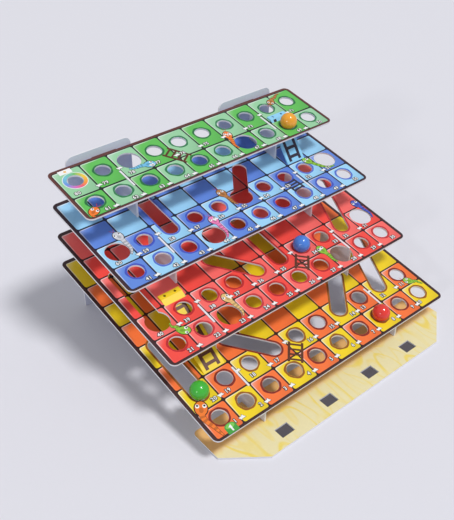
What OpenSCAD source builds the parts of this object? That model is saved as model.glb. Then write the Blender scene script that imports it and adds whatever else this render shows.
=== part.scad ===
// Four-tier snakes and ladders board, slotted together from printed card.
// Millimetres. X runs along the columns, Y to the rear, Z up from the floor.
// The origin is on the floor, under the middle of the whole board.

/* [Grid] */
// Side of one square of the playing grid
pitch = 24; // [22:0.5:30]
// Width of the border at the sides of the grid
border = 3.2; // [2:0.1:6]
// Width of the border in front of the grid
front_border = 1.5; // [1:0.1:6]
// Width of the border behind the grid
rear_border = 11.5; // [2:0.1:16]

/* [Card] */
// Thickness of the boards, panels, fins and base
card_t = 1.5; // [1:0.1:3]
// Clearance round a tab in its slit, and under a seated edge
fit_gap = 0.1; // [0.05:0.05:0.3]
// Corner radius of a board
corner_r = 5; // [2:0.5:8]

/* [Tiers] */
// Slope of the boards, in degrees, so that a ball rolls to the front
slope = 10; // [4:0.5:14]
// Height from one tier to the next
tier_rise = 27.7; // [24:0.1:36]
// Height of the lowest tier's front gridline above the base strip
front_rise = 18.3; // [14:0.1:26]

/* [Balls and holes] */
// Diameter of a playing ball
ball_d = 14.4; // [11:0.1:16]
// How far a seat is smaller than the ball, on each side
seat_lap = 0.9; // [0.5:0.1:2]
// How far a seat lies behind the middle of its square
seat_shift = 2; // [0:0.1:3]
// How far the seats in a tier's last row lie further back, as its squares are deeper
last_seat_shift = 4.2; // [0:0.1:6]
// How far a drop hole is larger than the ball, on each side
drop_gap = 2.4; // [1:0.1:3]
// Clearance between a resting ball and the rim that carries it
ball_gap = 0.15; // [0.05:0.05:0.3]

/* [Base strip] */
// How far the base stands out past the grid on each side
base_lip = 1.2; // [0:0.1:3]
// Reach of the base in front of the lowest tier's front gridline
base_front = 23; // [18:0.5:40]
// Reach of the base behind that gridline
base_back = 29; // [24:0.5:45]
// Length of the corner cuts along the front edge
chamfer_x = 30; // [5:0.5:45]
// Length of the corner cuts along the side edges
chamfer_y = 23; // [5:0.5:40]
// Radius of the rear corners
base_r = 4; // [1:0.5:8]
// Width of a parking hole
park_w = 12; // [8:0.1:14]
// Depth of a parking hole, front to back
park_d = 9.2; // [6:0.1:12]
// Distance between parking holes
park_spacing = 45.5; // [30:0.5:60]
// Distance from the front edge to the middle of the parking holes
park_y = 11.7; // [9:0.1:16]

/* [Rear panels] */
// Width of a rear panel
panel_w = 58.8; // [45:0.2:70]
// How far a panel rises above the rear edge of the top tier
panel_rise = 6.5; // [4:0.5:20]
// Radius of a panel's top corners
panel_r = 6; // [2:0.5:12]
// How far the middle of the left panel lies left of its tabs
panel_shift = 4; // [0:0.1:8]
// How far the middle of the right panel lies right of its tabs
right_panel_shift = 2; // [0:0.1:8]
// Width of the tabs on a board's rear edge
tab_w = 22; // [12:0.5:30]
// How far those tabs stand out behind the panel
tab_reach = 2; // [0.5:0.1:5]

/* [Fins] */
// How far the middle of a fin lies left of its gridline
fin_shift = 1.8; // [0:0.1:3]
// Distance of a fin's front edge behind the front gridline that it carries
fin_front = 13; // [0.5:0.1:18]
// Depth of a fin, front to back
fin_depth = 34; // [24:0.5:48]
// Distance of a lowest fin's front edge behind the front gridline
foot_front = 3.6; // [1:0.1:8]
// Depth of a lowest fin, front to back
foot_depth = 57; // [48:0.5:70]
// Distance of a fin's top tab behind the fin's front edge
fin_tab_inset = 1.2; // [0:0.1:12]
// Distance of a lowest fin's top tab behind the fin's front edge
foot_tab_inset = 18.5; // [0:0.1:26]
// Length of the tabs on a fin's top edge
fin_tab_l = 20; // [12:0.5:28]
// Length of the tabs on a fin's bottom edge
foot_tab_l = 14; // [8:0.5:18]
// How far the top tabs stand proud of the board
tab_proud = 0.5; // [0:0.1:1.5]

/* [Ladder strips] */
// Width of a ladder strip
ladder_w = 19.2; // [14:0.2:21]
// Thickness of a ladder strip
ladder_t = 1.2; // [0.8:0.1:2]
// Width of the tab at a strip's foot
ladder_tab_w = 13; // [8:0.5:14]
// Distance of a strip's toe behind the second row of squares
ladder_toe = 0.8; // [0.2:0.1:6]
// Card left between a seat and the slit behind it
ladder_web = 2.4; // [1.5:0.1:4]
// Length of the flat head that lies on the upper board
head_l = 4.5; // [2:0.1:6]
// Gap between the lower strip and the fin on its right
low_ladder_gap = 0.8; // [0.4:0.1:3]
// Gap between the upper strip and the fin on its left
high_ladder_gap = 3.2; // [0.4:0.1:4]
// Diameter of the two round notches in a head
notch_d = 2.2; // [1:0.1:3]
// Distance between the notches
notch_spacing = 9.6; // [6:0.1:12]

/* [Hidden] */
$fn = 64;

// Layout of the game. Columns and rows are counted from 0 at the left and at the front.
columns = 10;
tier_rows = [8, 6, 4, 2];
numbered_rows = 2;
tier_names = ["yellow", "red", "blue", "green"];
function tier(name) = search([name], tier_names)[0];
lowest = 0;
top_tier = len(tier_rows) - 1;
// Gridlines that the fins and the rear tabs stand on
stand_columns = [2, 8];
// Cells with a drop hole, as [column, row], for each tier
drop_cells = [[],
              [[2, 0], [7, 0], [9, 1], [0, 1]],
              [[0, 1], [3, 0], [9, 1], [5, 1]],
              [[2, 1], [6, 0]]];
// Ball tracks as [first column, first row, last column, last row], for each tier
tracks = [[[0, 1, 0, 3.2], [3, 1, 2, 2.2], [6, 1, 7, 2.2], [8, 1, 9, 3.15]],
          [[4, 1, 3, 2.25], [5, 1, 5, 3.25], [8, 1, 9, 3.25], [0, 1, 0, 3.25]],
          [[2, 1, 2, 3.1], [5, 1, 5.9, 2.2]],
          []];
// Seats that the balls rest in, as [tier, column, row]
ball_seats = [["yellow", 0, 1], ["yellow", 7, 0], ["red", 6, 1], ["green", 8, 0]];
park_count = 4;

// Working values
seat_d = ball_d - 2 * seat_lap;
drop_d = ball_d + 2 * drop_gap;
cut_over = 1;
weld = 0.3;
grid_w = columns * pitch;
base_w = grid_w + 2 * base_lip;
setback = numbered_rows * pitch + tier_rise * sin(slope);
tier_gap = tier_rise * cos(slope);

// The rear gridlines of all tiers stand in one upright plane
rear_y = tier_rows[0] * pitch * cos(slope);
rear_z = card_t + front_rise + tier_rows[0] * pitch * sin(slope);
// The rear panels stand clear of the boards' rear edges and of the top fins
panel_front = max(rear_y + rear_border * cos(slope) + card_t * sin(slope), fin_end(top_tier)) + fit_gap;
panel_back = panel_front + card_t;
tab_len = (panel_back + tab_reach - rear_y) / cos(slope) - rear_border;
last_y = panel_back + tab_reach + card_t * sin(slope);
mid_y = (last_y - base_front) / 2;
panel_top = rear_z + top_tier * tier_rise + rear_border * sin(slope) + panel_rise;

// Lengths in Y count from the lowest front gridline, until set_down moves a finished piece
function tier_y(t) = rear_y - tier_rows[t] * pitch * cos(slope);
function tier_z(t) = rear_z + t * tier_rise - tier_rows[t] * pitch * sin(slope);
// Floor-frame [y, z] of a point of tier t: y along the slope, z above its top face
function at(t, y, z) = [tier_y(t) + y * cos(slope) - z * sin(slope),
                        tier_z(t) + y * sin(slope) + z * cos(slope)];
// Distance along the slope of tier t at which height z lies over floor-frame y
function along(t, y, z) = (y - tier_y(t) + z * sin(slope)) / cos(slope);
function cell_x(column) = (column + 0.5) * pitch - grid_w / 2;
// Seats of a row of tier t
function cell_y(t, row) = (row + 0.5) * pitch + seat_shift + (row == tier_rows[t] - 1 ? last_seat_shift : 0);
function stand_x(side) = stand_columns[side] * pitch - grid_w / 2;
function fin_x(side) = stand_x(side) - fin_shift;
function is_in(cell, list) = len([for (c = list) if (c[0] == cell[0] && c[1] == cell[1]) c]) > 0;

// Colours
card_white = [0.93, 0.93, 0.95];
card_grey = [0.69, 0.70, 0.80];
base_cream = [0.92, 0.86, 0.65];
tier_colours = [[0.96, 0.75, 0.12], [0.92, 0.25, 0.24], [0.36, 0.52, 0.86], [0.40, 0.74, 0.40]];
ball_colours = [[0.29, 0.75, 0.25], [0.92, 0.25, 0.22], [0.32, 0.54, 0.88], [0.98, 0.68, 0.22]];

// Moves a finished piece so that the origin lies under the middle of the whole board
module set_down() {
  translate([0, -mid_y, 0]) children();
}

// Puts children in the frame of tier t: y along the slope, z = 0 on the top face
module on_tier(t) {
  translate([0, tier_y(t), tier_z(t)]) rotate([slope, 0, 0]) children();
}

// Extrudes a [y, z] outline along X, about its middle
module across(width) {
  rotate([90, 0, 90]) linear_extrude(width, center = true) children();
}

// A box in X about x, from front to back in y and low to high in z
module block(x, width, front, back, low, high) {
  translate([x - width / 2, front, low]) cube([width, back - front, high - low]);
}

module rounded_rect(x0, y0, x1, y1, r) {
  translate([x0 + r, y0]) square([x1 - x0 - 2 * r, y1 - y0]);
  translate([x0, y0 + r]) square([x1 - x0, y1 - y0 - 2 * r]);
  for (x = [x0 + r, x1 - r], y = [y0 + r, y1 - r]) translate([x, y]) circle(r);
}

// Boards

module board_plate(t) {
  depth = tier_rows[t] * pitch + rear_border;
  translate([0, 0, -card_t]) linear_extrude(card_t)
    rounded_rect(-grid_w / 2 - border, -front_border, grid_w / 2 + border, depth, corner_r);
  for (side = [0, 1]) block(stand_x(side), tab_w, depth - corner_r, depth + tab_len, -card_t, 0);
}

module hole(t, column, row, d) {
  translate([cell_x(column), cell_y(t, row), -card_t - cut_over])
    cylinder(d = d, h = card_t + 2 * cut_over);
}

module track(t, run) {
  dx = cell_x(run[2]) - cell_x(run[0]);
  dy = cell_y(t, run[3]) - cell_y(t, run[1]);
  length = norm([dx, dy]);
  translate([cell_x(run[0]), cell_y(t, run[1]), -card_t - cut_over]) rotate(atan2(dy, dx))
    linear_extrude(card_t + 2 * cut_over) {
      translate([0, -seat_d / 2]) square([length, seat_d]);
      for (x = [0, length]) translate([x, 0]) circle(d = seat_d);
    }
}

module ball_holes(t) {
  starts = [for (run = tracks[t]) [run[0], run[1]]];
  for (run = tracks[t]) track(t, run);
  for (cell = drop_cells[t]) hole(t, cell[0], cell[1], drop_d);
  for (column = [0 : columns - 1], row = [0 : numbered_rows - 1])
    if (!is_in([column, row], drop_cells[t]) && !is_in([column, row], starts)) hole(t, column, row, seat_d);
}

module through_slit(x, width, front, back) {
  block(x, width + 2 * fit_gap, front - fit_gap, back + fit_gap, -card_t - cut_over, cut_over);
}

module board(t) {
  color(tier_colours[t]) set_down() on_tier(t) difference() {
    board_plate(t);
    ball_holes(t);
    for (side = [0, 1]) {
      through_slit(fin_x(side), card_t, fin_top_mid(t) - fin_tab_l / 2, fin_top_mid(t) + fin_tab_l / 2);
      if (t < top_tier) through_slit(fin_x(side), card_t, fin_foot_mid(t + 1) - foot_tab_l / 2,
                                     fin_foot_mid(t + 1) + foot_tab_l / 2);
    }
    for (ladder = [0, 1]) {
      if (t == ladder_tier[ladder]) through_slit(ladder_x[ladder], ladder_tab_w,
                                                 foot_back(ladder) - ladder_t, foot_back(ladder));
      if (t == ladder_tier[ladder] + 1) through_slit(ladder_x[ladder], ladder_w,
                                                     slit_front(ladder), slit_back(ladder));
    }
  }
}

// Fins: upright card webs, each with a tab up through the tier that it carries

// A fin's front edge stands clear of the tab in front of it
function fin_start(t) = t == lowest ? tier_y(t) + foot_front
                                    : max(tier_y(t) + fin_front, fin_tab_end(t - 1) + fit_gap);
function fin_end(t) = fin_start(t) + (t == lowest ? foot_depth : fin_depth);
function fin_mid(t) = (fin_start(t) + fin_end(t)) / 2;
function fin_tab_start(t) = fin_start(t) + (t == lowest ? foot_tab_inset : fin_tab_inset);
function fin_top_mid(t) = along(t, fin_tab_start(t), 0) + fin_tab_l / 2;
function fin_tab_end(t) = at(t, fin_top_mid(t) + fin_tab_l / 2, 0)[0];
// Middle of the bottom tab of the fin under tier t, along the slope of the tier below
function fin_foot_mid(t) = along(t - 1, fin_mid(t), 0);
base_foot_mid = (fin_start(lowest) + base_back) / 2;

function fin_top(t) =
  let (under = -card_t - fit_gap, front = fin_top_mid(t) - fin_tab_l / 2, back = front + fin_tab_l)
  [at(t, along(t, fin_end(t), under), under), at(t, back, under), at(t, back, tab_proud),
   at(t, front, tab_proud), at(t, front, under), at(t, along(t, fin_start(t), under), under)];

function fin_bottom(t) =
  let (low = t - 1, front = fin_foot_mid(t) - foot_tab_l / 2, back = front + foot_tab_l)
  [at(low, along(low, fin_start(t), fit_gap), fit_gap), at(low, front, fit_gap),
   at(low, front, -card_t), at(low, back, -card_t), at(low, back, fit_gap),
   at(low, along(low, fin_end(t), fit_gap), fit_gap)];

// The lowest fins stand on the base strip and, behind it, on the floor
function base_fin_bottom() =
  let (seat = card_t + fit_gap, front = base_foot_mid - foot_tab_l / 2, back = front + foot_tab_l,
       step = base_back + fit_gap)
  [[fin_start(lowest), seat], [front, seat], [front, 0], [back, 0], [back, seat], [step, seat],
   [step, 0], [fin_end(lowest), 0]];

module fin(t, side) {
  color(card_white) set_down() translate([fin_x(side), 0, 0]) across(card_t)
    polygon(concat(t == lowest ? base_fin_bottom() : fin_bottom(t), fin_top(t)));
}

// Base strip

module base_outline() {
  side = base_w / 2;
  polygon([[-side + chamfer_x, -base_front], [side - chamfer_x, -base_front],
           [side, -base_front + chamfer_y], [side, base_back - base_r],
           [side - base_r, base_back - base_r], [side - base_r, base_back],
           [-side + base_r, base_back], [-side + base_r, base_back - base_r],
           [-side, base_back - base_r], [-side, -base_front + chamfer_y]]);
  for (x = [-1, 1]) translate([x * (side - base_r), base_back - base_r]) circle(base_r);
}

module base_strip() {
  hole_mid = park_y - base_front;
  color(base_cream) set_down() difference() {
    linear_extrude(card_t) base_outline();
    for (k = [0 : park_count - 1])
      block((k - (park_count - 1) / 2) * park_spacing, park_w, hole_mid - park_d / 2, hole_mid + park_d / 2,
            -cut_over, card_t + cut_over);
    for (side = [0, 1]) block(fin_x(side), card_t + 2 * fit_gap, base_foot_mid - foot_tab_l / 2 - fit_gap,
                              base_foot_mid + foot_tab_l / 2 + fit_gap, -cut_over, card_t + cut_over);
  }
}

// Rear panels: every tier's rear tab passes through one of their slots

module rear_panel(side) {
  middle = stand_x(side) + (side == 0 ? -panel_shift : right_panel_shift);
  color(card_grey) set_down() difference() {
    translate([middle, panel_back, 0]) rotate([90, 0, 0]) linear_extrude(card_t) {
      translate([-panel_w / 2, 0]) square([panel_w, panel_top - panel_r]);
      rounded_rect(-panel_w / 2, panel_top - 3 * panel_r, panel_w / 2, panel_top, panel_r);
    }
    for (t = [lowest : top_tier]) on_tier(t)
      block(stand_x(side), tab_w + 2 * fit_gap, tier_rows[t] * pitch,
            tier_rows[t] * pitch + rear_border + tab_len + cut_over, -card_t - fit_gap, fit_gap);
  }
}

// Ladder strips: inclined card, with a foot in the lower board and a head on the upper one

ladder_tier = [tier("yellow"), tier("blue")];
// Row of seats just in front of the slit that the head comes up through
ladder_row = [1, 0];
ladder_x = [fin_x(0) - card_t / 2 - low_ladder_gap - ladder_w / 2,
            fin_x(1) + card_t / 2 + high_ladder_gap + ladder_w / 2];
toe_y = numbered_rows * pitch + ladder_toe;
function slit_front(ladder) = cell_y(ladder_tier[ladder] + 1, ladder_row[ladder]) + seat_d / 2 + ladder_web;
function ladder_lean(ladder) = atan2(tier_gap - card_t - fit_gap, slit_front(ladder) + setback - toe_y);
// Length of a level cut across the inclined strip
function level_cut(ladder) = ladder_t / sin(ladder_lean(ladder));
function slit_back(ladder) = slit_front(ladder) + card_t / tan(ladder_lean(ladder)) + level_cut(ladder);
function foot_back(ladder) = toe_y + level_cut(ladder);

// Outline of a strip in the frame of its lower tier
function ladder_outline(ladder) =
  let (lean = ladder_lean(ladder), seat = tier_gap + fit_gap,
       rise_y = (tier_gap + ladder_t) / tan(lean), head_y = foot_back(ladder) + tier_gap / tan(lean))
  [[toe_y, fit_gap], [foot_back(ladder), fit_gap], [head_y, seat], [head_y + head_l, seat],
   [head_y + head_l, seat + ladder_t], [toe_y + rise_y, seat + ladder_t]];

module ladder(ladder) {
  head_mid = foot_back(ladder) + tier_gap / tan(ladder_lean(ladder)) + head_l / 2;
  foot_tier = ladder_tier[ladder];
  color(tier_colours[foot_tier]) set_down() on_tier(foot_tier) translate([ladder_x[ladder], 0, 0])
    difference() {
      union() {
        across(ladder_w) polygon(ladder_outline(ladder));
        block(0, ladder_tab_w, foot_back(ladder) - ladder_t, foot_back(ladder), -card_t, fit_gap + weld);
      }
      for (k = [-1, 1]) translate([k * notch_spacing / 2, head_mid, tier_gap])
        cylinder(d = notch_d, h = fit_gap + ladder_t + cut_over);
    }
}

// Balls: each rests on the rim of its seat

seat_h = sqrt(pow(ball_d / 2 + ball_gap, 2) - pow(seat_d / 2, 2));

module ball(k) {
  seat = ball_seats[k];
  t = tier(seat[0]);
  color(ball_colours[k]) set_down() on_tier(t)
    translate([cell_x(seat[1]), cell_y(t, seat[2]), seat_h]) sphere(d = ball_d);
}

base_strip();
board(tier("yellow"));  // board_yellow
board(tier("red"));  // board_red
board(tier("blue"));  // board_blue
board(tier("green"));  // board_green
rear_panel(0);  // rear_panel_left
rear_panel(1);  // rear_panel_right
fin(tier("yellow"), 0);  // fin_yellow_left
fin(tier("yellow"), 1);  // fin_yellow_right
fin(tier("red"), 0);  // fin_red_left
fin(tier("red"), 1);  // fin_red_right
fin(tier("blue"), 0);  // fin_blue_left
fin(tier("blue"), 1);  // fin_blue_right
fin(tier("green"), 0);  // fin_green_left
fin(tier("green"), 1);  // fin_green_right
ladder(0);  // ladder_low
ladder(1);  // ladder_high
ball(0);  // ball_green
ball(1);  // ball_red
ball(2);  // ball_blue
ball(3);  // ball_yellow
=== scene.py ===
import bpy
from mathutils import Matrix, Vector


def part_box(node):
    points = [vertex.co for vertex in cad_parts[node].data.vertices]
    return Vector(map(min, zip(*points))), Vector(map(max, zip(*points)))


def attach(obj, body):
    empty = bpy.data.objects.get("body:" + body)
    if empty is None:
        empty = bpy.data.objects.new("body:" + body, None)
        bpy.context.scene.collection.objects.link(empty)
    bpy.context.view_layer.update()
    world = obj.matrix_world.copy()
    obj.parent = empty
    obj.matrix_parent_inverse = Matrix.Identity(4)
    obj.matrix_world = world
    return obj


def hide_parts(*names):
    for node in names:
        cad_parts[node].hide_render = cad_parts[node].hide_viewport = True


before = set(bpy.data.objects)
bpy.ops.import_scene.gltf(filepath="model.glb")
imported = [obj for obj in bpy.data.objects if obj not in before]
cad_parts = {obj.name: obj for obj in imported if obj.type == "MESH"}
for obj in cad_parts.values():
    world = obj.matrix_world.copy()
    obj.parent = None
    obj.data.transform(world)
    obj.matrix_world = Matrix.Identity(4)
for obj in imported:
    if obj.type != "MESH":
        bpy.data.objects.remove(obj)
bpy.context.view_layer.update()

import math
from itertools import product

import bmesh
import bpy
from bmesh.types import BMEdge, BMFace, BMVert
from bpy.props import FloatProperty, FloatVectorProperty, PointerProperty
from mathutils import Color, Matrix, Vector

bl_info = {
    "name": "Tiered snakes and ladders board",
    "version": (1, 0, 0),
    "blender": (4, 5, 0),
    "location": "View3D > Sidebar > Board",
    "description": "Prints, finishes and lights the packed card board and its balls",
    "category": "Object",
}

MM = 0.001
TAU = 2 * math.pi
# Points closer than this are one point
MERGE, DIGIT_MERGE = 0.01 * MM, 0.001 * MM

# The board's layout, as the part's source has it, in columns and rows
TIERS = ("yellow", "red", "blue", "green")
ROWS = {"yellow": 8, "red": 6, "blue": 4, "green": 2}
COLUMNS, NUMBERED_ROWS, PARK_COUNT = 10, 2, 4
# The numbered cells, by row and column
CELLS = tuple(product(range(NUMBERED_ROWS), range(COLUMNS)))
DROPS = {
    "yellow": (),
    "red": ((2, 0), (7, 0), (9, 1), (0, 1)),
    "blue": ((0, 1), (3, 0), (9, 1), (5, 1)),
    "green": ((2, 1), (6, 0)),
}
TRACKS = {
    "yellow": ((0, 1, 0, 3.2), (3, 1, 2, 2.2), (6, 1, 7, 2.2), (8, 1, 9, 3.15)),
    "red": ((4, 1, 3, 2.25), (5, 1, 5, 3.25), (8, 1, 9, 3.25), (0, 1, 0, 3.25)),
    "blue": ((2, 1, 2, 3.1), (5, 1, 5.9, 2.2)),
    "green": (),
}
LAST_CELL = ("green", 0, 1)

# Numbers, in cells from a cell's front left corner: in the first row, and left and right in the second
NUMBER_SPOTS = {
    "yellow": ((0.78, 0.22), (0.28, 0.17), (0.75, 0.17)),
    "red": ((0.69, 0.16), (0.28, 0.13), (0.75, 0.13)),
    "blue": ((0.66, 0.14), (0.26, 0.14), (0.75, 0.14)),
    "green": ((0.64, 0.12), (0.24, 0.18), (0.75, 0.18)),
}
# Columns of the second row with their number at the right, and the first row's one number at the left
RIGHT_NUMBERS = {"yellow": (0, 4, 5, 6), "red": (6, 7), "blue": (), "green": ()}
LEFT_NUMBER, LEFT_SPOT = 10, (0.14, 0.22)
DIGIT_SWELL = 0.08 * MM
BOLD_LAYERS, PLAIN_LAYERS, DIGIT_LIFT = 2.0, 3.2, 0.3
# A digit's height in Blender's own font, and the step to the next digit against its height
FONT_HEIGHT, DIGIT_STEP = 0.72, 0.74

# Arrows, in cells from a cell's front left corner, in the first and the second row
ARROW_SPOTS = {
    "yellow": ((0.03, 0.2), (0.0, 0.17)),
    "red": ((0.0, 0.15), (0.0, 0.14)),
    "blue": ((-0.04, 0.12), (0.0, 0.14)),
    "green": ((-0.07, 0.1), (0.0, 0.18)),
}
# Second-row arrows half way up the gridline, clear of a fin's tab or a printed ladder
RAISED_ARROWS = {"yellow": (2, 4, 8), "red": (2, 6, 8), "blue": (2, 8), "green": (2, 8)}
RAISED = 0.57
# An arrow's head and tail, two triangles: place along it, long and wide radius, layers added
ARROW_PARTS = ((0.8 * MM, 2.1 * MM, 2.0 * MM, 0.0), (-1.25 * MM, 1.7 * MM, 1.7 * MM, 0.2))
ARROW_OUTLINE = 0.45 * MM

# A ring's wobble: its start for each column and row, and its waves' count, share of that start and height
RING_TURNS = Vector((2.1, 3.7))
RING_WAVES = ((3, 1.0, 1.0), (7, 2.3, 0.6))
RING_GAP, RING_STEPS, TRACK_END_STEPS = 0.12 * MM, 40, 16

# The printed ladder of each tier, from foot to head, in cells
PRINTED_LADDERS = {
    "yellow": ((3.73, 0.78), (4.28, 1.37)), "red": ((5.80, 0.77), (6.28, 1.28)),
    "blue": ((7.52, 0.78), (7.47, 1.32)), "green": ((4.24, 0.82), (3.77, 1.54))}
LADDER_WIDTH, LADDER_RUNGS = 10.2 * MM, 4
# Rungs against the ladder's width and against its rails
RUNG_REACH, RUNG_SHARE = 1.18, 0.9
# Ladder strips: slot, ink, bare stretch under the head and the tier that the head lies on
STRIPS = {
    "ladder_low": ("yellow_card", "ladder", 7.0 * MM, "red"),
    "ladder_high": ("blue_card", "ladder_dark", 0.6 * MM, "green"),
}
STRIP_WIDTH, STRIP_FOOT, STRIP_RUNG_STEP, STRIP_RUNGS = 10.6 * MM, 1.5 * MM, 7.5 * MM, 3
# A point this near to a strip's sloping face is on it
ON_FACE = 0.05 * MM

# Snakes round a drop hole: column, row, angle of the head, turn to the tail, colour
RIM_SNAKES = {
    "yellow": (),
    "red": ((2, 0, 55, -95, "tan"), (7, 0, 135, 75, "green"), (9, 1, 55, -95, "blue")),
    "blue": ((0, 1, 52, -100, "grey"), (3, 0, 50, -100, "pink"),
             (9, 1, 160, 120, "green"), (5, 1, 138, 80, "brown")),
    "green": ((2, 1, -50, -75, "sky"), (6, 0, 118, 85, "orange")),
}
# From the hole's rim to the snake's body and its head, and the share of its length that comes in
RIM_BODY, RIM_HEAD, RIM_LEAD, RIM_STEPS = 1.1 * MM, 6.2 * MM, 0.42, 40
# Snakes beside a seat: colour, share of the usual width, and points in cells from head to tail
FREE_SNAKES = {
    "yellow": (
        ("orange", 1.25,
         ((0.20, 1.08), (0.10, 0.90), (0.08, 0.70), (0.15, 0.45), (0.18, 0.22), (0.22, 0.02))),
        ("green", 0.9, ((9.64, 1.12), (9.74, 1.02), (9.84, 1.00), (9.90, 0.88), (9.97, 0.76)))),
    "red": (("green", 1.0, ((0.93, 0.88), (0.82, 0.95), (0.85, 1.08), (0.74, 1.18), (0.76, 1.33))),),
    "blue": (),
    "green": (
        ("orange", 1.0, ((0.18, 0.20), (0.10, 0.14), (0.08, 0.06), (0.12, 0.00))),
        ("brown", 0.9, ((8.95, 2.02), (9.10, 2.13), (9.26, 2.16), (9.42, 2.27), (9.58, 2.28)))),
}
# Steps between points, how much a snake narrows and how late, steps in a band and its share of the colour
FREE_STEPS, TAPER, TAPER_POWER, BAND_STEPS, BAND_SHARE = 8, 0.8, 1.6, 3, 0.66
SNAKE_OUTLINE, TONGUE_WIDTH = 0.5 * MM, 0.32 * MM
# A head's width against the body's, and in head widths its middle and the tongue's root, reach and fork
HEAD_SHARE, HEAD_MIDDLE, TONGUE_ROOT, TONGUE_REACH, TONGUE_FORK = 1.4, 0.2, 0.9, 0.75, 0.352
# A head's ovals, in head widths: ahead and aside of its middle, long and wide radius, layers, sides, ink
HEAD_OVALS = (
    (0.0, 0.0, 1.02, 0.82, 1.2, 24, "outline"),
    (0.0, 0.0, 0.92, 0.70, 2.4, 24, "body"),
    (-0.25, 0.0, 0.36, 0.24, 2.8, 24, "band"),
    (0.28, -0.40, 0.26, 0.24, 3.0, 14, "white"),
    (0.34, -0.40, 0.13, 0.13, 3.4, 12, "outline"),
    (0.28, 0.40, 0.26, 0.24, 3.0, 14, "white"),
    (0.34, 0.40, 0.13, 0.13, 3.4, 12, "outline"),
)

# The start tab's bars: rows from and to, width, layers and ink
START_COLUMN = 0.55
START_BARS = ((-0.05, 0.17, 9.4 * MM, 1.6, "start"), (0.0, 0.14, 1.3 * MM, 2.9, "white"))
# Its ovals, with its arrow's head as a triangle: row, long and wide radius, turn, layers, sides, ink
START_OVALS = (
    (0.17, 4.7 * MM, 2.8 * MM, 0.0, 1.8, 24, "start"),
    (0.18, 3.7 * MM, 2.0 * MM, 0.0, 2.2, 24, "start_pale"),
    (0.16, 1.8 * MM, 1.8 * MM, math.pi / 2, 2.8, 3, "white"),
)
# The last cell's colour wheel and the white ring round it, from the seat's rim
WHEEL_WIDTH, WHITE_INNER, WHITE_OUTER = 3.0 * MM, 2.9 * MM, 3.5 * MM
WHEEL_TURN = 2.3
# The wheel's colours by their share of a turn, as they look on screen, from 0 to 255
WHEEL_STOPS = (
    (0.0, (250, 150, 60)), (0.16, (246, 206, 70)), (0.32, (120, 196, 110)), (0.5, (120, 200, 220)),
    (0.66, (110, 150, 226)), (0.82, (222, 110, 190)), (0.92, (240, 100, 110)), (1.0, (250, 150, 60)))
# Its label, in cells, with a star in the middle
LABEL_LEFT, LABEL_RIGHT, LABEL_ROW, LABEL_DEPTH = 0.21, 0.66, 2.28, 4.8 * MM
STAR_RADIUS, STAR_POINTS, STAR_WAIST = 1.7 * MM, 5, 0.45

# The wood print's layers: stretch across and along the strip, count of lines and strength
GRAIN_LAYERS = ((30.0, 12.0, 9.0, 0.85), (64.0, 20.0, 5.0, 0.4))
GRAIN_TURN = -0.3
# From the base's front edge to where the painted shade under the lowest tier begins, and where it is full: a
# warm tan painted in as shade
PAINTED_SHADE_START, PAINTED_SHADE_FULL = 24 * MM, 31 * MM

# How far each ball is turned about X and Y, to show its seam
BALL_TURNS = {"ball_green": 0.5, "ball_red": -0.7, "ball_blue": 0.9, "ball_yellow": -0.4}
BALL_STEPS, SEAM_CUTS = 64, 3

# Lamps: strength, spread in degrees and the direction that they shine from
LAMPS = {"key": (1.9, 13, (0.22, -0.37, 0.90)), "side": (0.35, 4, (-0.87, -0.33, 0.37))}
SKY_LIGHT, SKY_STRENGTH, SKY_SEEN = (0.94, 0.96, 1.0, 1.0), 0.42, (0.80, 0.80, 0.84, 1.0)
FLOOR_REACH, FLOOR_DROP = 6.0, 0.2 * MM
# The camera's lens, place, and the directions of its right, its top and its back
LENS, SENSOR, NEAREST, FURTHEST = 52.03, 36.0, 0.01, 50.0
CAMERA_PLACE = (-0.3306, -0.35185, 0.4244)
CAMERA_AXES = ((0.7692, -0.6389, 0.0015), (0.3825, 0.4624, 0.7999), (-0.5118, -0.6148, 0.6001))


def length(name, description, millimetres):
    """A length that a user can change, given in millimetres."""
    return FloatProperty(name=name, description=description, default=millimetres * MM,
                         min=0.0, unit="LENGTH", precision=5)


def tint(name, description, *shown):
    """A colour that a user can change, as it looks on screen, from 0 to 255."""
    return FloatVectorProperty(name=name, description=description, subtype="COLOR_GAMMA", size=3,
                               min=0.0, max=1.0, default=[part / 255 for part in shown])


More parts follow.
